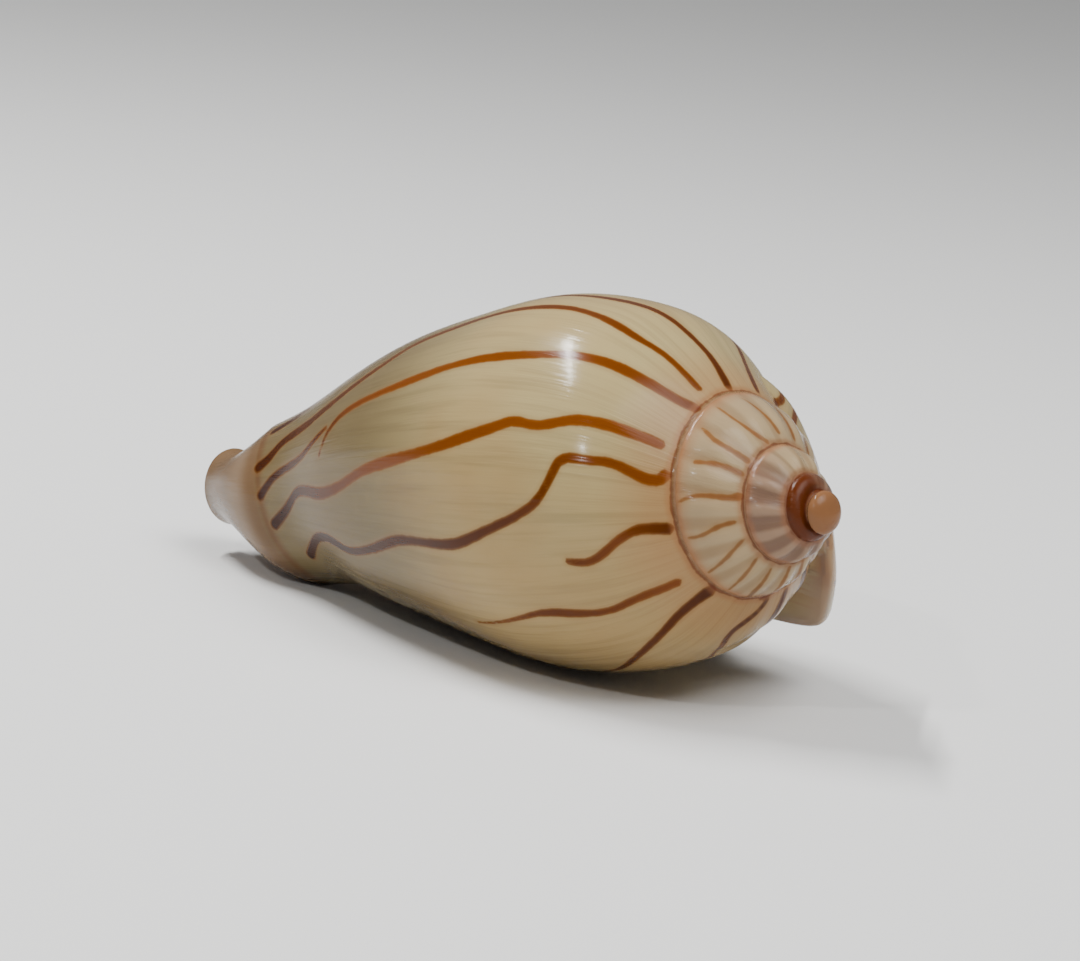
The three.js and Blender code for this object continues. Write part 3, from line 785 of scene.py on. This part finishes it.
@dataclass(frozen=True)
class StripeSet:
    """The brown lines of the body whorl and of the whorl above it."""

    front: tuple = (
        Stripe(((0.0, -0.343), (0.05, -0.332), (0.1, -0.338), (0.22, -0.35), (0.52, -0.362),
                (0.7, -0.38), (0.86, -0.41), (0.99, -0.45)),
               (0.22, 0.26, 0.26), (0.7, 0.5, 0.8)),
        Stripe(((0.01, -0.392), (0.08, -0.391), (0.12, -0.397), (0.24, -0.387), (0.36, -0.392),
                (0.58, -0.403), (0.64, -0.43), (0.72, -0.451), (0.85, -0.477), (0.92, -0.487),
                (0.96, -0.518), (1.0, -0.54)), (0.2, 0.27, 0.3), (0.4, 0.5, 0.8)),
        Stripe(((0.0, -0.42), (0.03, -0.434), (0.14, -0.443), (0.27, -0.457), (0.46, -0.468),
                (0.65, -0.481), (0.71, -0.49), (0.75, -0.51), (0.77, -0.54)),
               (0.28, 0.25, 0.13), (0.45, 0.15, 0.7)),
        Stripe(((0.755, -0.5), (0.8, -0.515), (0.84, -0.532), (0.9, -0.545), (0.95, -0.561),
                (1.0, -0.6)), (0.14, 0.23, 0.27), (0.5, 0.7, 0.95)),
        Stripe(((0.01, -0.5), (0.08, -0.503), (0.13, -0.508), (0.18, -0.519), (0.225, -0.517),
                (0.26, -0.524), (0.36, -0.539), (0.5, -0.55), (0.6, -0.558), (0.67, -0.572),
                (0.78, -0.587), (0.86, -0.582), (0.91, -0.61), (0.99, -0.655)),
               (0.25, 0.27, 0.3), (0.15, 0.12, 1.0)),
        Stripe(((0.005, -0.537), (0.014, -0.551), (0.04, -0.546), (0.07, -0.54), (0.1, -0.543),
                (0.135, -0.544), (0.15, -0.562), (0.17, -0.581), (0.2, -0.593), (0.23, -0.601),
                (0.32, -0.617), (0.38, -0.625), (0.5, -0.626), (0.58, -0.635), (0.72, -0.658),
                (0.77, -0.652), (0.85, -0.656), (0.94, -0.718)),
               (0.24, 0.24, 0.26), (0.15, 0.55, 0.95)),
        Stripe(((0.005, -0.617), (0.03, -0.613), (0.05, -0.617), (0.08, -0.632), (0.11, -0.642),
                (0.145, -0.638)), (0.25, 0.2, 0.18), (0.6, 0.35, 0.5)),
        Stripe(((0.017, -0.698), (0.07, -0.693), (0.12, -0.698), (0.21, -0.69), (0.27, -0.693),
                (0.35, -0.703), (0.43, -0.711)), (0.18, 0.23, 0.03), (0.25, 0.5, 0.4)),
        Stripe(((0.003, -0.741), (0.03, -0.738), (0.07, -0.748), (0.17, -0.777), (0.26, -0.804),
                (0.5, -0.825)), (0.29, 0.22, 0.06), (0.7, 0.5, 0.5)),
        Stripe(((0.0, -0.845), (0.003, -0.868), (0.026, -0.846), (0.05, -0.83), (0.1, -0.849),
                (0.145, -0.843), (0.24, -0.862), (0.36, -0.872)), (0.17, 0.18, 0.06),
               (0.8, 0.5, 0.5)),
        Stripe(((0.86, -0.748), (0.866, -0.753)), (0.2, 0.2, 0.14), (0.6, 0.6, 0.6)),
    )
    back: tuple = (
        Stripe(((0.012, -0.01), (0.06, -0.022), (0.14, -0.02), (0.26, -0.03), (0.4, -0.026),
                (0.56, -0.04), (0.7, -0.052), (0.84, -0.07), (0.98, -0.11)),
               (0.2, 0.26, 0.24), (0.3, 0.2, 0.8)),
        Stripe(((0.004, -0.068), (0.05, -0.064), (0.12, -0.078), (0.2, -0.072), (0.33, -0.088),
                (0.48, -0.092), (0.6, -0.086), (0.72, -0.12), (0.86, -0.135), (0.97, -0.17)),
               (0.2, 0.24, 0.26), (0.3, 0.3, 0.9)),
        Stripe(((0.006, -0.122), (0.04, -0.13), (0.1, -0.126), (0.17, -0.148), (0.24, -0.15),
                (0.36, -0.147), (0.42, -0.15)), (0.22, 0.24, 0.04), (0.3, 0.3, 0.4)),
        Stripe(((0.003, -0.172), (0.05, -0.18), (0.11, -0.178), (0.2, -0.19), (0.31, -0.187),
                (0.45, -0.19), (0.58, -0.205), (0.68, -0.202), (0.77, -0.228), (0.87, -0.236),
                (0.985, -0.27)), (0.21, 0.25, 0.25), (0.4, 0.2, 0.9)),
        Stripe(((0.006, -0.232), (0.03, -0.222), (0.071, -0.2), (0.13, -0.206), (0.25, -0.228),
                (0.4, -0.236), (0.55, -0.256), (0.66, -0.27), (0.78, -0.274), (0.9, -0.298),
                (0.99, -0.332)), (0.17, 0.22, 0.24), (0.6, 0.35, 0.9)),
        Stripe(((0.008, -0.278), (0.03, -0.272), (0.066, -0.262), (0.12, -0.252), (0.2, -0.254),
                (0.32, -0.268), (0.46, -0.3), (0.62, -0.318), (0.8, -0.346), (0.97, -0.395)),
               (0.18, 0.22, 0.2), (0.6, 0.5, 0.8)),
        Stripe(((0.004, -0.915), (0.05, -0.905), (0.12, -0.92), (0.22, -0.93), (0.34, -0.938)),
               (0.2, 0.2, 0.05), (0.6, 0.5, 0.4)),
        Stripe(((0.004, -0.97), (0.06, -0.962), (0.14, -0.975), (0.22, -0.978)),
               (0.2, 0.2, 0.05), (0.6, 0.5, 0.4)),
    )
    spire: tuple = (
        Stripe(((0.8, -1.346), (0.43, -1.331), (0.12, -1.322)),
               (0.05, 0.09, 0.1), (0.3, 0.2, 0.3)),
        Stripe(((0.86, -1.398), (0.6, -1.402), (0.38, -1.397), (0.18, -1.387), (0.03, -1.37)),
               (0.05, 0.11, 0.12), (0.1, 0.1, 0.3)),
        Stripe(((0.8, -1.45), (0.72, -1.453), (0.53, -1.462), (0.02, -1.458)),
               (0.05, 0.12, 0.17), (0.2, 0.2, 0.4)),
        Stripe(((0.72, -1.51), (0.5, -1.503), (0.3, -1.498), (0.03, -1.496)),
               (0.1, 0.12, 0.13), (0.0, 0.1, 0.3)),
        Stripe(((0.92, -1.578), (0.73, -1.567), (0.5, -1.562), (0.17, -1.56), (0.02, -1.55)),
               (0.06, 0.1, 0.18), (0.3, 0.2, 0.1)),
        Stripe(((0.9, -1.634), (0.65, -1.632), (0.38, -1.62), (0.1, -1.614)),
               (0.05, 0.1, 0.09), (0.3, 0.3, 0.3)),
        Stripe(((0.88, -1.705), (0.58, -1.692), (0.3, -1.677), (0.08, -1.66)),
               (0.05, 0.09, 0.07), (0.4, 0.4, 0.4)),
        Stripe(((0.9, -1.76), (0.6, -1.748), (0.3, -1.738), (0.08, -1.725)),
               (0.06, 0.09, 0.06), (0.4, 0.4, 0.4)),
        Stripe(((0.9, -1.81), (0.7, -1.8), (0.45, -1.795), (0.1, -1.785)),
               (0.14, 0.1, 0.06), (0.9, 0.4, 0.4)),
    )

    def hidden_spire(self) -> "list[Stripe]":
        """Draw the thin lines on the far side of the spire, which repeat evenly.

        Returns:
            The lines.
        """
        rows = []
        for k in range(6):
            turn = -1.28 + 0.0556 * k
            lean = 0.012 * math.sin(2.3 * k)
            path = tuple((share, turn - lean * share + 0.01 * (1 - share))
                         for share in (0.9, 0.65, 0.4, 0.08))
            rows.append(Stripe(path, (0.05, 0.1, 0.11), (0.2, 0.2, 0.3)))
        for k in range(3):
            turn = -1.86 - 0.052 * k
            path = tuple((share, turn + 0.014 * (1 - share)) for share in (0.9, 0.6, 0.3, 0.06))
            rows.append(Stripe(path, (0.06, 0.1, 0.08), (0.3, 0.2, 0.3)))
        return rows

    def all(self) -> "list[Stripe]":
        """Return every line of the shell."""
        return [*self.front, *self.back, *self.spire, *self.hidden_spire()]


@dataclass
class Traits:
    """Works out what each point of the shell carries for its finish."""

    body: ShellBody
    stripes: StripeSet
    samples: int = 40
    line_width: float = 1.2
    line_swell: tuple = (0.1, 37, 90)
    line_reach: float = 1.5
    seam_start: float = -3.9
    seam_points: int = 3200
    seam_reach: float = 2.0
    corner_share: float = 0.3
    corner_steps: int = 120
    corner_end: float = 0.6
    skin_gap: float = 0.22
    skin_fade: float = 0.3

    def locate(self, share: float, turn: float) -> np.ndarray:
        """Find one point of the outside.

        Args:
            share: Share of the way from the suture to the ridge.
            turn: Turn of the point.

        Returns:
            Its place in the resting pose.
        """
        form = self.body.form
        row = np.array([min(share, 1.0)])
        if turn < -1:
            point = form.folded(form.spire_outline(turn, row), turn, row)[0]
        else:
            point = form.body_outline(turn, row)[0]
        return self.body.posed(form.place(point, turn))

    def soften(self, row: np.ndarray) -> np.ndarray:
        """Round the corners of a row of numbers by a moving average.

        Args:
            row: The numbers.

        Returns:
            As many softened numbers.
        """
        half = self.samples // 2
        reach = np.ones(self.samples) / self.samples
        return np.convolve(np.pad(row, half, mode="edge"), reach, mode="same")[half:][:len(row)]

    def trace(self, stripe: Stripe) -> "list[tuple[np.ndarray, float, float]]":
        """Follow one stripe over the shell.

        Args:
            stripe: The stripe.

        Returns:
            Places along it, with the half width and the depth at each.
        """
        path = np.array(stripe.path)
        place = np.linspace(0, 1, len(path))
        fine = np.linspace(0, 1, self.samples * len(path))
        shares = self.soften(np.interp(fine, place, path[:, 0]))
        turns = np.interp(fine, place, path[:, 1])
        if len(path) > 2:
            turns = SmoothCurve(place, path[:, 1])(fine)
        turns = self.soften(turns)
        width = np.interp(fine, (0, 0.5, 1), stripe.width) * self.line_width
        swell, by_share, by_turn = self.line_swell
        width = width * (1 + swell * np.sin(by_share * shares + by_turn * turns))
        depth = np.interp(fine, (0, 0.5, 1), stripe.depth)
        return [(self.locate(s, t), w, d) for s, t, w, d in zip(shares, turns, width, depth)]

    @staticmethod
    def tree(places: "list[np.ndarray] | np.ndarray") -> KDTree:
        """Prepare a search for the nearest of many places.

        Args:
            places: The places, in millimetres.

        Returns:
            The search tree.
        """
        tree = KDTree(len(places))
        for i, place in enumerate(places):
            tree.insert(place, i)
        tree.balance()
        return tree

    def outside(self) -> "tuple[np.ndarray, np.ndarray, range]":
        """Sample the outside of all whorls, the lip corner and the first whorl.

        Returns:
            Places in the resting pose, the turn and share of each, and which of them
            belong to the lip corner.
        """
        body = self.body
        form = body.form
        points, table = body.skin.grid()
        places = [body.posed(points).reshape(-1, 3)]
        values = [table.reshape(-1, 2)]
        rings, turns = body.wing_rows()
        rings = rings[turns < -self.corner_end * form.lip_rounding]
        rings = rings[:, :rings.shape[1] // 2]
        shares = np.linspace(0.0, self.corner_share, self.corner_steps)
        corner = range(len(places[0]), len(places[0]) + rings.shape[0] * rings.shape[1])
        for ring, turn in zip(rings, turns):
            reach = np.maximum.accumulate(form.body_outline(turn, shares)[:, 0])
            share = np.interp(np.hypot(ring[:, 1], ring[:, 2]), reach, shares)
            places.append(body.posed(ring))
            values.append(np.stack([np.full(len(ring), turn), share], axis=1))
        around, down = np.meshgrid(np.linspace(0, 2 * np.pi, 60), np.linspace(0, np.pi, 30))
        ball = np.stack([np.cos(down), np.sin(down) * np.sin(around),
                         np.sin(down) * np.cos(around)], -1).reshape(-1, 3)
        places.append(body.posed(ball * np.array(form.ball_size) + np.array(form.ball_place)))
        values.append(np.tile([form.apex_turn, 0.0], (len(ball), 1)))
        return np.vstack(places), np.vstack(values), corner

    def seam_line(self) -> np.ndarray:
        """Follow the suture from the early whorls to the lip.

        Returns:
            Places along it in the resting pose.
        """
        form = self.body.form
        turns = np.linspace(self.seam_start, 0.0, self.seam_points)
        points = np.stack([form.suture_radius(turns), form.suture_height(turns)], axis=1)
        return self.body.posed(form.place(points, turns))

    @staticmethod
    def joints(mesh: bpy.types.Mesh, spots: np.ndarray, table: dict) -> np.ndarray:
        """Return the places where the lip corner lies against older whorls.

        Args:
            mesh: Mesh of the shell.
            spots: Place of each point in millimetres.
            table: Values of each point.

        Returns:
            Places along the joint.
        """
        ends = np.empty(len(mesh.edges) * 2, np.int32)
        mesh.edges.foreach_get("vertices", ends)
        first, second = ends.reshape(-1, 2).T
        turn, inside = table[Trait.TURN], table[Trait.INSIDE]
        jump = np.abs(turn[first] - turn[second]) > 0.5
        jump &= (inside[first] < 0.5) & (inside[second] < 0.5)
        return (spots[first[jump]] + spots[second[jump]]) / 2

    def read_skin(self, spots: np.ndarray, table: dict) -> "list[np.ndarray]":
        """Find the turn and share of every point, and whether it lies inside.

        Args:
            spots: Place of each point in millimetres.
            table: Values of each point, which are filled in.

        Returns:
            Where the lines are looked for: the point, or for the lip corner the whorl below.
        """
        places, values, corner = self.outside()
        outer = self.tree(places)
        below: dict = {}
        seeks = []
        for i, spot in enumerate(spots):
            _, near, gap = outer.find(spot)
            turn, share = values[near]
            table[Trait.TURN][i] = turn
            table[Trait.SHARE][i] = share
            table[Trait.INSIDE][i] = smooth((gap - self.skin_gap) / self.skin_fade)
            if near in corner and gap < self.skin_gap:
                if near not in below:
                    below[near] = self.locate(share, turn)
                spot = below[near]
            seeks.append(spot)
        return seeks

    def write(self, shell: Piece) -> None:
        """Store the values of every point on the mesh.

        Args:
            shell: The finished mesh, on the floor.
        """
        mesh = shell.data
        count = len(mesh.vertices)
        spots = np.empty(count * 3, np.float32)
        mesh.vertices.foreach_get("co", spots)
        spots = spots.reshape(-1, 3) / MM - np.array(self.body.form.resting_place)
        table = {trait: np.zeros(count, np.float32) for trait in Trait}
        seeks = self.read_skin(spots, table)
        drawn = [spot for stripe in self.stripes.all() for spot in self.trace(stripe)]
        lines = self.tree([place for place, _, _ in drawn])
        seam = self.tree(np.vstack([self.seam_line(), self.joints(mesh, spots, table)]))
        for i, (spot, seek) in enumerate(zip(spots, seeks)):
            _, hit, away = lines.find(seek)
            _, width, depth = drawn[hit]
            table[Trait.STRIPE][i] = max(width - away, -self.line_reach)
            table[Trait.DEPTH][i] = depth
            table[Trait.SEAM][i] = min(seam.find(spot)[2], self.seam_reach)
        for trait, numbers in table.items():
            layer = mesh.attributes.new(trait.value, "FLOAT", "POINT")
            layer.data.foreach_set("value", numbers)
        LOG.info("traits: %d points, %d along the lines", count, len(drawn))


# Shader expressions


class Board:
    """Adds nodes to one material and joins them."""

    def __init__(self, name: str) -> None:
        """Start a material with its shader and output.

        Args:
            name: Name of the material.
        """
        self.material = bpy.data.materials.new(name)
        self.material.use_nodes = True
        self.tree = self.material.node_tree
        self.shader = self.tree.nodes["Principled BSDF"]

    def node(self, kind: str, settings: "dict | None" = None,
             values: "dict | None" = None) -> bpy.types.Node:
        """Add one node.

        Args:
            kind: Type of the node.
            settings: Its own settings, set first.
            values: Numbers, colours, sockets or expressions for its inputs.

        Returns:
            The node.
        """
        node = self.tree.nodes.new(kind)
        for key, value in (settings or {}).items():
            setattr(node, key, value)
        self.fill(node, values or {})
        return node

    def fill(self, node: bpy.types.Node, values: dict) -> None:
        """Set or link the inputs of a node.

        Args:
            node: The node.
            values: Numbers, colours, sockets or expressions for its inputs.
        """
        for key, value in values.items():
            if isinstance(value, Value):
                value = value.link
            if isinstance(value, Link):
                self.tree.links.new(value, node.inputs[key])
            else:
                node.inputs[key].default_value = value

    def trait(self, trait: Trait) -> "Value":
        """Return a value that each point of the mesh carries."""
        node = self.node("ShaderNodeAttribute", {"attribute_name": trait.value})
        return Value(self, node.outputs["Fac"])

    def place(self) -> Link:
        """Return the place on the object."""
        return self.node("ShaderNodeTexCoord").outputs["Object"]

    def vector(self, x: "Value | float", y: "Value | float", z: "Value | float") -> Link:
        """Join three numbers into a vector."""
        node = self.node("ShaderNodeCombineXYZ", None, {"X": x, "Y": y, "Z": z})
        return node.outputs["Vector"]

    def noise(self, where: Link, scale: float, detail: float = 3.0,
              roughness: float = 0.5) -> "Value":
        """Return soft noise.

        Args:
            where: Vector that the noise is read at.
            scale: Number of waves to one unit of the vector.
            detail: Number of finer layers.
            roughness: How strong the finer layers are.

        Returns:
            A value from 0 to 1.
        """
        node = self.node("ShaderNodeTexNoise", {"noise_dimensions": "3D"}, {
            "Vector": where, "Scale": scale, "Detail": detail, "Roughness": roughness})
        return Value(self, node.outputs["Fac"])

    def wave(self, angle: "Value") -> "Value":
        """Return the cosine of an angle."""
        node = self.node("ShaderNodeMath", {"operation": "COSINE"}, {0: angle})
        return Value(self, node.outputs[0])

    def step(self, value: "Value", low: float, high: float) -> "Value":
        """Add an S-shaped step.

        Args:
            value: What the step depends on.
            low: Value up to which the step is 0.
            high: Value from which it is 1.

        Returns:
            A value from 0 to 1.
        """
        node = self.node("ShaderNodeMapRange", {"interpolation_type": "SMOOTHSTEP"}, {
            "Value": value, "From Min": low, "From Max": high})
        return Value(self, node.outputs["Result"])

    def blend(self, share: "Value | float", first: "Link | tuple",
              second: "Link | tuple") -> Link:
        """Mix two colours.

        Args:
            share: How much of the second, 0 to 1.
            first: Colour at 0.
            second: Colour at 1.

        Returns:
            The mixed colour.
        """
        node = self.node("ShaderNodeMix", {"data_type": "RGBA"}, {0: share, 6: first, 7: second})
        return node.outputs[2]

    def coats(self, colour: "Link | tuple", *layers: tuple) -> Link:
        """Lay colours over one another.

        Args:
            colour: The ground.
            layers: Pairs of a mask and a colour.

        Returns:
            The mixed colour.
        """
        for mask, coat in layers:
            colour = self.blend(mask, colour, coat)
        return colour


class Value:
    """A number of the shader that can stand in an expression."""

    def __init__(self, board: Board, link: Link) -> None:
        """Wrap one output socket."""
        self.board = board
        self.link = link

    def join(self, operation: str, first: "Value | float",
             second: "Value | float") -> "Value":
        """Add a Math node on two values."""
        node = self.board.node("ShaderNodeMath", {"operation": operation}, {0: first, 1: second})
        return Value(self.board, node.outputs[0])

    def __add__(self, other: "Value | float") -> "Value":
        """Return the sum."""
        return self.join("ADD", self, other)

    def __sub__(self, other: "Value | float") -> "Value":
        """Return the difference."""
        return self.join("SUBTRACT", self, other)

    def __rsub__(self, other: "Value | float") -> "Value":
        """Return the difference from a number."""
        return self.join("SUBTRACT", other, self)

    def __mul__(self, other: "Value | float") -> "Value":
        """Return the product."""
        return self.join("MULTIPLY", self, other)

    __radd__ = __add__
    __rmul__ = __mul__


def tint(*screen: int) -> "tuple[float, ...]":
    """Return a screen colour, 0 to 255, as the linear colour that a shader takes."""
    parts = [part / 255 for part in screen]
    return (*(p / 12.92 if p <= 0.04045 else ((p + 0.055) / 1.055) ** 2.4 for p in parts), 1.0)


@dataclass(frozen=True)
class StripedGlaze:
    """Glossy cream shell with brown lines, a darker spire and a pale inside."""

    cream: tuple = tint(166, 148, 104)
    warm: tuple = tint(160, 134, 90)
    # Grey of the growth lines, also used as painted shade on the lower part of the body whorl
    grey_and_painted_shade: tuple = tint(76, 62, 42)
    line_light: tuple = tint(112, 56, 4)
    line_dark: tuple = tint(46, 14, 0)
    halo: tuple = tint(134, 90, 44)
    band: tuple = tint(108, 84, 60)
    band_pale: tuple = tint(128, 106, 84)
    spire: tuple = tint(162, 140, 108)
    # Painted shade for the valleys between the ribs of the whorl above the body whorl
    valley_shade: tuple = tint(112, 82, 54)
    peach: tuple = tint(146, 92, 56)
    plum: tuple = tint(108, 82, 68)
    plum_light: tuple = tint(160, 132, 108)
    thread: tuple = tint(92, 40, 22)
    nucleus: tuple = tint(126, 86, 56)
    nucleus_dark: tuple = tint(84, 38, 12)
    lining: tuple = tint(152, 124, 92)
    lining_deep: tuple = tint(120, 80, 46)
    gloss: float = 0.11
    coat: float = 0.07
    coat_roughness: float = 0.12

    def make(self) -> bpy.types.Material:
        """Mix the material of the whole shell.

        Returns:
            The material.
        """
        board = Board("striped_glaze")
        step = board.step
        turn, share, stripe, depth, seam, inside = (board.trait(trait) for trait in Trait)
        place = board.place()
        cloud = board.noise(place, 90.0)
        mottle = board.noise(place, 420.0, 4.0, 0.6)
        growth = board.noise(board.vector(turn * 110.0, share * 2.5, 0.0), 1.0, 3.0, 0.65)
        fine = board.noise(board.vector(turn * 300.0, share * 5.0, 0.0), 1.0, 1.0)
        tight, wide = (board.wave(turn * (2 * math.pi * folds.count))
                       for folds in (ShellForm.tight_folds, ShellForm.wide_folds))
        above = 1 - step(turn, -1.02, -0.98)
        nucleus = 1 - step(turn, -3.4, -3.2)
        # Ground of the body whorl: clouds, the greyer, darker lower part (partly the shell's own
        # colour, partly painted shade), growth lines and shoulder
        colour = board.coats(
            self.cream,
            (step(cloud, 0.35, 0.7), self.warm),
            # Partly real colour, partly painted shade: the body whorl greys and darkens from its
            # middle toward the ridge
            (step(share, 0.3, 0.66) * 0.72, self.grey_and_painted_shade),
            (step(growth, 0.42, 0.7) * 0.2, self.grey_and_painted_shade),
            ((1 - step(share, 0.01, 0.09)) * 0.4, self.peach),
            (step(mottle, 0.55, 0.8) * 0.12, self.warm))
        # Whorl above it, with painted shade in the valleys between its ribs, and its peach lower
        # rim
        colour = board.coats(
            colour,
            (above * 0.85, self.spire),
            # Painted shade: darker brown wherever the wide folds dip
            (step(wide + cloud, 0.3, 1.6) * above * 0.4, self.valley_shade),
            (step(share, 0.7, 0.97) * above * 0.5, self.peach))
        # Band below the ridge, with a thread along the ridge
        pale = step(share, 1.1, 1.3) * (1 - step(share, 1.3, 1.6))
        colour = board.coats(
            colour,
            (step(share, 1.0, 1.06), board.blend(pale, self.band, self.band_pale)),
            (step(share, 0.975, 1.0) * (1 - step(share, 1.0, 1.05)) * 0.45, self.thread))
        # Brown lines with their soft edge
        near = stripe + (board.noise(place, 1600.0, 2.0) - 0.5) * 0.09
        core = board.coats(
            self.line_light,
            (step(depth + (cloud - 0.5) * 0.3, 0.0, 1.0), self.line_dark),
            ((1 - step(near, 0.02, 0.16)) * 0.35, self.halo))
        colour = board.coats(
            colour,
            (step(near, -0.3, 0.02) * 0.22, self.halo),
            (step(near, -0.06, 0.05) * (1 - above * 0.25), core))
        # Early whorls and the first one
        ribs = step(tight + mottle * 1.5, 0.6, 1.9) * 0.6
        tip = 1 - step(turn, -4.7, -4.3)
        colour = board.coats(
            colour,
            ((1 - step(turn + (cloud - 0.5) * 0.1, -2.5, -2.36)) * 0.92,
             board.blend(ribs, self.plum, self.plum_light)),
            (nucleus, board.blend(tip, self.nucleus_dark, self.nucleus)))
        # Seams between the whorls, and the inside
        gap = seam + (board.noise(place, 2400.0, 2.0) - 0.5) * 0.14 + wide * 0.03
        old = 1 - step(turn, -2.2, -1.8)
        colour = board.coats(
            colour,
            ((1 - step(gap, 0.1, 0.5)) * (1 - nucleus) * 0.45, self.peach),
            ((1 - step(gap, 0.03, 0.12)) * (0.7 - old * 0.35), self.thread),
            (inside, board.blend(step(cloud, 0.35, 0.7), self.lining, self.lining_deep)))
        relief = growth * 0.04 + fine * 0.01 + mottle * 0.004 + step(seam, 0.0, 0.3) * 0.05
        bump = board.node("ShaderNodeBump", None, {
            "Height": relief, "Strength": 1.0, "Distance": MM})
        board.fill(board.shader, {
            "Base Color": colour, "Roughness": 0.12 + 0.14 * growth - above * 0.05,
            "Normal": bump.outputs["Normal"], "Specular IOR Level": self.gloss,
            "Coat Weight": self.coat, "Coat Roughness": self.coat_roughness})
        return board.material


@dataclass(frozen=True)
class PaleFloor:
    """Matt, nearly white floor."""

    colour: tuple = (0.8, 0.8, 0.79, 1)
    roughness: float = 0.6

    def make(self) -> bpy.types.Material:
        """Mix the material of the floor.

        Returns:
            The material.
        """
        board = Board("pale_floor")
        board.fill(board.shader, {"Base Color": self.colour, "Roughness": self.roughness})
        return board.material


# Studio


@dataclass(frozen=True)
class Lamp:
    """Soft rectangular light that faces the shell, in metres and watts."""

    name: str
    place: tuple
    power: float
    size: tuple
    along: tuple = (1, 0, 0)
    aim: tuple = (0, 0, 0.01)

    def add(self) -> None:
        """Put the light in its place, with its length along its own direction."""
        bpy.ops.object.light_add(type="AREA", location=self.place)
        lamp = bpy.context.object
        lamp.name = self.name
        lamp.data.energy = self.power
        lamp.data.shape = "RECTANGLE"
        lamp.data.size, lamp.data.size_y = self.size
        back = (Vector(self.place) - Vector(self.aim)).normalized()
        side = (Vector(self.along) - back * back.dot(Vector(self.along))).normalized()
        lamp.rotation_euler = Matrix((side, back.cross(side), back)).transposed().to_euler()


@dataclass
class Studio:
    """Floor, lights and camera of a plain pale studio."""

    lens: float = 158.07
    sensor: float = 36
    clip_start: float = 0.01
    camera_place: tuple = (0.17608, -0.18331, 0.05589)
    camera_turn: tuple = (79.424, -6.741, 45.046)
    floor_size: float = 3.0
    sky_strength: float = 0.2
    lamps: tuple = (
        Lamp("strip_light", (-0.135, -0.045, 0.255), 1.0, (0.17, 0.006), (0.35, -0.56, 0.08)),
        Lamp("front_light", (0.045, -0.225, 0.18), 0.16, (0.014, 0.008)),
        Lamp("top_light", (0.2, -0.03, 0.34), 1.1, (0.25, 0.25)),
        Lamp("sky_light", (0.6, 0.3, 1.35), 7.5, (0.9, 0.9)),
    )

    def floor(self) -> None:
        """Add a wide pale floor."""
        Bench.clear()
        bpy.ops.mesh.primitive_plane_add(size=self.floor_size)
        floor = bpy.context.object
        floor.name = "floor"
        floor.data.materials.append(PaleFloor().make())

    def sky(self) -> None:
        """Fill the studio with a little even white light."""
        world = bpy.data.worlds.new("studio_world")
        world.use_nodes = True
        background = world.node_tree.nodes["Background"]
        background.inputs["Color"].default_value = (1, 1, 1, 1)
        background.inputs["Strength"].default_value = self.sky_strength
        bpy.context.scene.world = world

    def camera(self) -> None:
        """Add the camera."""
        bpy.ops.object.camera_add(
            location=self.camera_place,
            rotation=tuple(math.radians(angle) for angle in self.camera_turn))
        camera = bpy.context.object
        camera.data.lens = self.lens
        camera.data.sensor_width = self.sensor
        camera.data.clip_start = self.clip_start
        bpy.context.scene.camera = camera

    def build(self) -> None:
        """Add the floor, the lights, the world and the camera."""
        self.floor()
        for lamp in self.lamps:
            lamp.add()
        self.sky()
        self.camera()
        LOG.info("studio: floor, %d lights and camera", len(self.lamps))


def main() -> None:
    """Build the shell and the studio."""
    logging.basicConfig(level=logging.INFO, format="%(message)s")
    form = ShellForm()
    body = ShellBody(form, OuterSkin(form))
    shell = body.build()
    Traits(body, StripeSet()).write(shell)
    shell.data.materials.clear()
    shell.data.materials.append(StripedGlaze().make())
    LOG.info("glaze: done")
    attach(shell, "root")
    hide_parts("shell")
    Studio().build()


if __name__ == "__main__":
    main()
